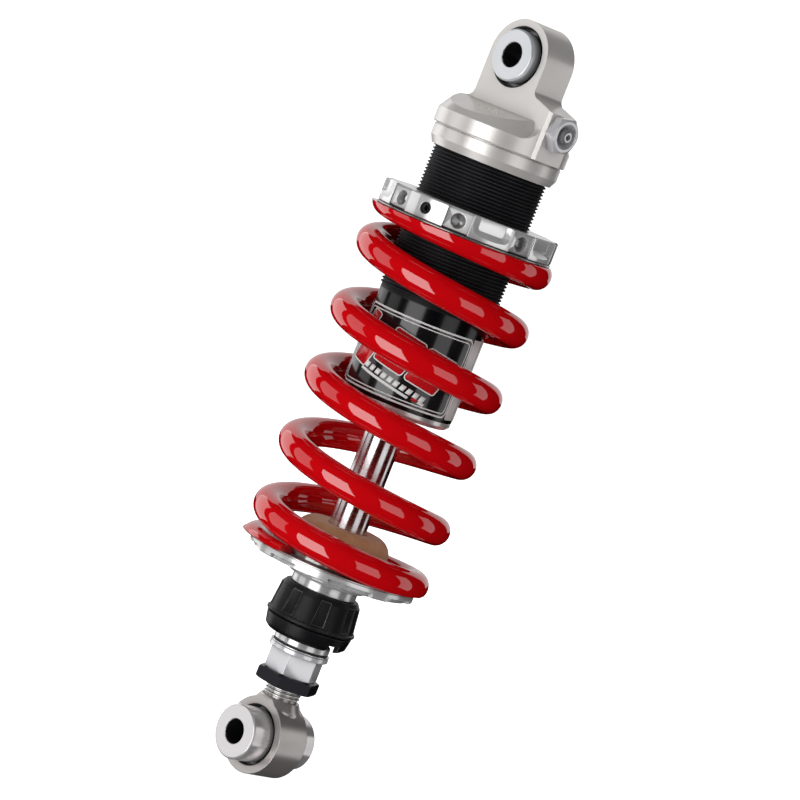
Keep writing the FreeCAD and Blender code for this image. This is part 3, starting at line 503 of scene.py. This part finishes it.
def finish_mesh(mesh, material, angle=35.0):
    """Smooth shading with sharp edges above an angle, and one material."""
    mesh.update()
    mesh.polygons.foreach_set("use_smooth", [True] * len(mesh.polygons))
    mesh.set_sharp_from_angle(angle=math.radians(angle))
    mesh.materials.append(MAT[material])


def piece(name, verts, faces, material, body, slot, nodes=(), angle=35.0):
    """New visible piece from vertices in millimetres, riding on a body."""
    mesh = bpy.data.meshes.new(name)
    mesh.from_pydata([Vector(v) * MM for v in verts], [], faces)
    finish_mesh(mesh, material, angle)
    obj = link(bpy.data.objects.new(name, mesh))
    if body is not None:
        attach(obj, body)
    if nodes:
        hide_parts(*nodes)
    return obj


def rounded(points, radius, steps=4):
    """Closed profile with its corners rounded."""
    made = []
    count = len(points)
    for i, point in enumerate(points):
        here = Vector(point)
        first, second = Vector(points[i - 1]) - here, Vector(points[(i + 1) % count]) - here
        if radius <= 0:
            made.append(here)
            continue
        half = first.angle(second) / 2
        cut = min(radius / math.tan(half), first.length * 0.45, second.length * 0.45)
        r = cut * math.tan(half)
        start, stop = here + first.normalized() * cut, here + second.normalized() * cut
        centre = here + (first.normalized() + second.normalized()).normalized() * (
            r / math.sin(half))
        a, b = start - centre, stop - centre
        sweep = a.angle_signed(b)
        for step in range(steps + 1):
            angle = -sweep * step / steps
            made.append(centre + Matrix.Rotation(angle, 2) @ a)
    return made


def spin(profile, segments):
    """Vertices and faces of a closed profile of (radius, height) turned about the damper."""
    count = len(profile)
    verts, faces = [], []
    for i in range(segments):
        a = math.radians(360.0 * i / segments)
        verts += [(r * math.cos(a), r * math.sin(a), height) for r, height in profile]
    for i in range(segments):
        j = (i + 1) % segments
        for k in range(count):
            m = (k + 1) % count
            faces.append((i * count + k, j * count + k, j * count + m, i * count + m))
    return verts, faces


def face_outward(obj):
    """Make a closed mesh's normals point outward."""
    bm = bmesh.new()
    bm.from_mesh(obj.data)
    bmesh.ops.recalc_face_normals(bm, faces=bm.faces)
    bm.to_mesh(obj.data)
    bm.free()


def lathe(name, profile, radius, material, body, slot, nodes=()):
    """Turned piece whose corners are rounded to a radius."""
    verts, faces = spin(rounded(profile, radius), LATHE_SEGMENTS)
    face_outward(piece(name, verts, faces, material, body, slot, nodes, 50.0))


def softened(node, width, material, angle=28.0, reshape=None):
    """Copy of a CAD node with its sharp edges bevelled; it stands for the node."""
    source = NODES[node]
    mesh = source.data.copy()
    mesh.name = f"{node}_detail"
    mesh.materials.clear()
    bm = bmesh.new()
    bm.from_mesh(mesh)
    bmesh.ops.remove_doubles(bm, verts=bm.verts, dist=WELD_DISTANCE)
    if reshape:
        for vert in bm.verts:
            reshape(vert.co)
    bmesh.ops.dissolve_limit(bm, angle_limit=math.radians(FLAT_ANGLE),
                             verts=bm.verts, edges=bm.edges)
    bm.to_mesh(mesh)
    bm.free()
    finish_mesh(mesh, material, angle)
    obj = link(bpy.data.objects.new(f"{node}_detail", mesh))
    bevel = obj.modifiers.new("edges", "BEVEL")
    bevel.width = width * MM
    bevel.segments = 2
    bevel.limit_method = "ANGLE"
    bevel.angle_limit = math.radians(angle)
    bevel.use_clamp_overlap = True
    bevel.harden_normals = True
    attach(obj, source["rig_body"])
    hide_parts(node)


def screw_ridge(radius, root, pitch, low, high, run_out=0.6):
    """Closed right-hand thread: a small trapezoid swept along a helix, tapered at its ends."""
    turns = (high - low) / pitch - 1
    steps = round(turns * RIDGE_STEPS)
    verts, faces = [], []
    for i in range(steps + 1):
        turn = i / RIDGE_STEPS
        a = 2 * math.pi * turn
        z = low + pitch * (turn + 0.5)
        near = min(turn, turns - turn) / run_out
        crest = (root - RIDGE_START
                 + (radius - root + RIDGE_START) * min(1.0, max(near, 0.0)))
        for r, dz in ((root - RIDGE_SINK, -0.46), (crest, -0.09),
                      (crest, 0.09), (root - RIDGE_SINK, 0.46)):
            verts.append((r * math.cos(a), r * math.sin(a), z + dz * pitch))
    for i in range(steps):
        for k in range(4):
            m = (k + 1) % 4
            faces.append((i * 4 + k, i * 4 + m, i * 4 + 4 + m, i * 4 + 4 + k))
    faces.append((3, 2, 1, 0))
    faces.append(tuple(steps * 4 + k for k in range(4)))
    return verts, faces


def joined(*parts):
    """Several (vertices, faces) sets as one."""
    verts, faces = [], []
    for some_verts, some_faces in parts:
        offset = len(verts)
        verts += some_verts
        faces += [tuple(v + offset for v in face) for face in some_faces]
    return verts, faces


# ---------------------------------------------------------------- coil spring

WIRE = 6.2
COIL_TOP, COIL_FOOT = -75.5, -221.0
COIL_TURNS, COIL_RAMP, COIL_END_PITCH, COIL_TIP = 6.4, 1.36, 3.0, 223.4
COIL_MEAN = 34.25
CLOSED_TURNS = 1.0
COIL_STEPS, WIRE_SIDES = 110, 40


def coil_height(turn):
    """Height of the wire's centre; the pitch grows over the end turns and is even between."""
    top = COIL_TOP + WIRE / 2
    drop = top - (COIL_FOOT - WIRE / 2)
    pitch = (drop - COIL_END_PITCH * COIL_RAMP) / (COIL_TURNS - COIL_RAMP)

    def from_end(count):
        return COIL_END_PITCH * count + (pitch - COIL_END_PITCH) * count ** 2 / (2 * COIL_RAMP)

    if turn <= COIL_RAMP:
        return top - from_end(turn)
    if turn >= COIL_TURNS - COIL_RAMP:
        return top - drop + from_end(COIL_TURNS - turn)
    return top - from_end(COIL_RAMP) - pitch * (turn - COIL_RAMP)


def coil_centre(turn):
    """Centre of the wire after so many turns from the upper tip."""
    a = math.radians(COIL_TIP - 90 + 360 * turn)
    return Vector((COIL_MEAN * math.cos(a), COIL_MEAN * math.sin(a), coil_height(turn)))


def coil_share(turn):
    """How far a cross-section follows the lower seat: the closed end turns don't give."""
    share = (turn - CLOSED_TURNS) / (COIL_TURNS - 2 * CLOSED_TURNS)
    return min(1.0, max(0.0, share))


def make_spring():
    """Round wire along the helix, ends ground flat, with each section's share of travel."""
    steps, around = round(COIL_TURNS * COIL_STEPS), WIRE_SIDES
    verts, faces, shares = [], [], []
    for i in range(steps + 1):
        turn = COIL_TURNS * i / steps
        centre = coil_centre(turn)
        ahead = coil_centre(min(turn + 0.004, COIL_TURNS)) - coil_centre(max(turn - 0.004, 0))
        ahead.normalize()
        outward = Vector((centre.x, centre.y, 0)).normalized()
        outward = (outward - ahead * outward.dot(ahead)).normalized()
        upward = outward.cross(ahead)
        for k in range(around):
            a = 2 * math.pi * k / around
            point = centre + (outward * math.cos(a) + upward * math.sin(a)) * WIRE
            point.z = min(COIL_TOP, max(COIL_FOOT, point.z))
            verts.append(point)
            shares.append(coil_share(turn))
    for i in range(steps):
        for k in range(around):
            m = (k + 1) % around
            faces.append((i * around + k, i * around + m,
                          (i + 1) * around + m, (i + 1) * around + k))
    faces.append(tuple(reversed(range(around))))
    faces.append(tuple(steps * around + k for k in range(around)))
    obj = piece("spring_wire", verts, faces, "red", None, "spring_red", ["coil_spring"], 60.0)
    face_outward(obj)
    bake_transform(obj)
    group = obj.vertex_groups.new(name="upper_end")
    for index, share in enumerate(shares):
        if share < 1:
            group.add([index], 1 - share, "REPLACE")
    hook = obj.modifiers.new("preload", "HOOK")
    hook.object = frame["bodies"]["spring_perch"]
    hook.vertex_group = group.name
    hook.falloff_type = "NONE"


make_spring()

# ---------------------------------------------------------------- damper tube


def make_tube():
    """Tube wall with a plain lower part and a real thread on the rest."""
    wall = rounded([(TUBE_BORE, TUBE_FOOT), (TUBE_R, TUBE_FOOT), (TUBE_R, THREAD_FOOT + 0.2),
                    (THREAD_ROOT, THREAD_FOOT + 0.4), (THREAD_ROOT, TUBE_TOP),
                    (TUBE_BORE, TUBE_TOP)], 0.15)
    verts, faces = joined(
        spin(wall, TUBE_SEGMENTS),
        screw_ridge(THREAD_CREST, THREAD_ROOT, THREAD_PITCH, THREAD_FOOT, TUBE_TOP))
    obj = piece("tube_body", verts, faces, "black_anodised", "damper_body", "black_anodised",
                ["damper_tube"], 30.0)
    face_outward(obj)


make_tube()

# ---------------------------------------------------------------- label graphics

# Shapes are in (distance round the tube from the front, height), in millimetres.
LABEL_R = 24.15
LABEL_FRONT = 43.4
LABEL_TOP, LABEL_FOOT = -113.4, -148.4
LABEL_LEAN, LABEL_SLOPE = 0.42, -0.19
LABEL_REPEAT = 77.3
BORDER_WIDTH, LINE_WIDTH = 0.8, 0.5


def on_tube(across, height, lift):
    """Point of the label's surface; across grows to the right as one faces it."""
    a = math.radians(LABEL_FRONT) + across / LABEL_R
    r = LABEL_R + lift
    return (r * math.sin(a), -r * math.cos(a), height)


def band(path, width):
    """Printed closed line along a path, as quads."""
    quads, sides = [], []
    count = len(path)
    for i, point in enumerate(path):
        ahead = (path[(i + 1) % count] - path[i - 1]).normalized()
        side = Vector((-ahead.y, ahead.x)) * width / 2
        sides.append((point + side, point - side))
    for (a, b), (c, d) in zip(sides, sides[1:] + sides[:1]):
        quads.append([a, b, d, c])
    return quads


def rectangle(left, foot, right, top, corner=0.0):
    """Upright rectangle with rounded corners."""
    return rounded([(left, foot), (right, foot), (right, top), (left, top)], corner, steps=5)


def slanted(x, z, width, height, corner=0.0):
    """Bar that leans right and runs down to the right; x and z are its lower left corner."""
    drop, lean = width * LABEL_SLOPE, height * LABEL_LEAN
    return rounded([(x, z), (x + width, z + drop), (x + width + lean, z + drop + height),
                    (x + lean, z + height)], corner)


def printed(name, shapes, material, lift):
    """Thin printed layer: flat shapes cut in narrow columns and laid round the tube."""
    flat = bmesh.new()
    for shape in shapes:
        flat.faces.new([flat.verts.new((p[0], p[1], 0)) for p in shape])
    spans = [v.co.x for v in flat.verts]
    for step in range(math.ceil(min(spans)), math.ceil(max(spans))):
        bmesh.ops.bisect_plane(flat, geom=flat.verts[:] + flat.edges[:] + flat.faces[:],
                               dist=1e-4, plane_co=(step, 0, 0), plane_no=(1, 0, 0))
    bmesh.ops.remove_doubles(flat, verts=flat.verts, dist=1e-4)
    flat.verts.index_update()
    verts = [on_tube(v.co.x, v.co.y, lift) for v in flat.verts]
    faces = [tuple(v.index for v in face.verts) for face in flat.faces]
    flat.free()
    obj = piece(name, verts, faces, material, "damper_body", "label_film")
    film = obj.modifiers.new("film", "SOLIDIFY")
    film.thickness = (lift + 0.05) * MM
    film.offset = -1.0


def make_label():
    """Pale border and end strip, plain slanted red bars and pale dashes; no lettering."""
    printed("label_end_strip", [rectangle(24.4, LABEL_FOOT, 31.6, LABEL_TOP),
                                rectangle(32.4, LABEL_FOOT, 38.0, LABEL_TOP)],
            "film_white", 0.03)
    outer = rectangle(-33.4, LABEL_FOOT + 0.55, 23.7, LABEL_TOP - 0.55, 2.6)
    inner = rectangle(-31.6, LABEL_FOOT + 2.05, 22.2, LABEL_TOP - 2.05, 2.0)
    back_outer = rectangle(40.5, LABEL_FOOT + 0.55, 114.0, LABEL_TOP - 0.55, 2.6)
    back_inner = rectangle(42.1, LABEL_FOOT + 2.05, 112.4, LABEL_TOP - 2.05, 2.0)
    printed("label_border", band(outer, BORDER_WIDTH) + band(back_outer, BORDER_WIDTH),
            "film_white", 0.04)
    printed("label_border_line", band(inner, LINE_WIDTH) + band(back_inner, LINE_WIDTH),
            "film_white", 0.03)
    for side, shift in (("front", 0.0), ("back", LABEL_REPEAT)):
        bars = [(-31.0 + shift, -137.4, 10.5, 15.6), (-17.6 + shift, -134.6, 14.8, 15.6),
                (-1.6 + shift, -137.7, 14.8, 15.6)]
        stub = [(-30.2 + shift, -122.8, 6.4, 7.0)]
        shapes = [slanted(*bar, 1.3) for bar in bars + stub]
        printed(f"label_bars_{side}", shapes, "film_red", 0.04)
        printed(f"label_bar_edges_{side}", [q for s in shapes for q in band(s, LINE_WIDTH)],
                "film_white", 0.06)
        dashes = [slanted(-20.2 + shift + 3.1 * i, -138.9 + 3.1 * i * LABEL_SLOPE, 2.1, 2.3)
                  for i in range(10)]
        rule = [slanted(-21.6 + shift, -140.5, 24.6, 1.1)]
        tag = [slanted(7.6 + shift, -145.5, 2.9, 1.2)]
        printed(f"label_dashes_{side}", dashes + rule + tag, "film_white", 0.03)
        printed(f"label_tag_{side}", [slanted(4.6 + shift, -144.9, 2.4, 1.3)],
                "film_red", 0.03)


make_label()

# ---------------------------------------------------------------- CAD nodes that stay

KEEP = {
    "rod": ["damper_rod"],
    "chrome": ["gas_fill_screw"],
    "rubber": ["gas_plug_seal", "dust_wiper", "oil_seal", "seal_head_o_ring", "head_o_ring",
               "floating_piston_o_ring", "top_out_bumper", "upper_dust_seals",
               "lower_dust_seals"],
    "ball": ["upper_bearing_ball", "lower_bearing_ball"],
    "steel": ["upper_bearing_race", "lower_bearing_race", "top_out_plate",
              "compression_shims", "rebound_shims", "metering_rod", "metering_cross_pin",
              "adjuster_clip", "thrust_washer", "seat_washer"],
    "bronze": ["rod_bush", "piston_band"],
    "black_steel": ["piston_nut", "upper_bearing_clips", "lower_bearing_clips",
                    "ring_lock_screw"],
    "turned": ["piston", "floating_piston", "seal_head", "seat_collar", "rod_end",
               "knob_retainer"],
    "film": ["tube_label"],
    "head": ["upper_head"],
    "hexagon": ["gas_valve_plug"],
}
for look, names in KEEP.items():
    for node_name in names:
        mesh = NODES[node_name].data
        mesh.materials.clear()
        mesh.materials.append(MAT[look])

softened("preload_ring", 0.20, "ring", angle=18.0)
softened("spring_seat", 0.30, "turned")
softened("rebound_knob", 0.15, "black_plastic")
softened("click_ring", 0.20, "black_plastic")
softened("length_adjuster", 0.25, "hexagon")
softened("jam_nut", 0.30, "black_steel")

SHANK_R, SHANK_ROOT = 7.7, 6.9
SHANK_FOOT, SHANK_TOP = -282.9, -250.5


def thin_shank(co):
    """Take the eye's shank in to the root of its thread."""
    r = math.hypot(co.x, co.y) / MM
    if SHANK_R - 0.6 < r < SHANK_R + 0.1 and SHANK_FOOT < co.z / MM < SHANK_TOP + 0.1:
        co.x *= SHANK_ROOT / r
        co.y *= SHANK_ROOT / r


softened("lower_eye", 0.40, "lower", reshape=thin_shank)
ridge = piece("lower_eye_thread",
              *screw_ridge(SHANK_R, SHANK_ROOT, THREAD_PITCH, SHANK_FOOT, SHANK_TOP,
                           run_out=0.3),
              "thread", NODES["lower_eye"]["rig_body"], "satin_aluminium")
face_outward(ridge)
softened("bump_stop", 0.80, "foam")

seal_foot, seal_top = (corner.z for corner in box_mm("adjuster_seal"))
SEAL_BORE, CASE_R, LIP_R = 9.7, 12.75, 12.0
CASE_TOP, LIP_FOOT, LIP_TOP = seal_top - 0.55, seal_top - 0.50, seal_top - 0.02
lathe("adjuster_seal_case",
      [(SEAL_BORE, seal_foot), (CASE_R, seal_foot), (CASE_R, CASE_TOP), (SEAL_BORE, CASE_TOP)],
      0.15, "turned", "length_adjuster", "seal_rubber", ["adjuster_seal"])
lathe("adjuster_seal_lip",
      [(SEAL_BORE, LIP_FOOT), (LIP_R, LIP_FOOT), (LIP_R - 0.2, LIP_TOP), (SEAL_BORE, LIP_TOP)],
      0.12, "rubber", "length_adjuster", "seal_rubber")
for side in ("front", "rear"):
    softened(f"upper_spacer_{side}", 0.25, "upper_bolt")
    softened(f"lower_spacer_{side}", 0.25, "lower_bolt")
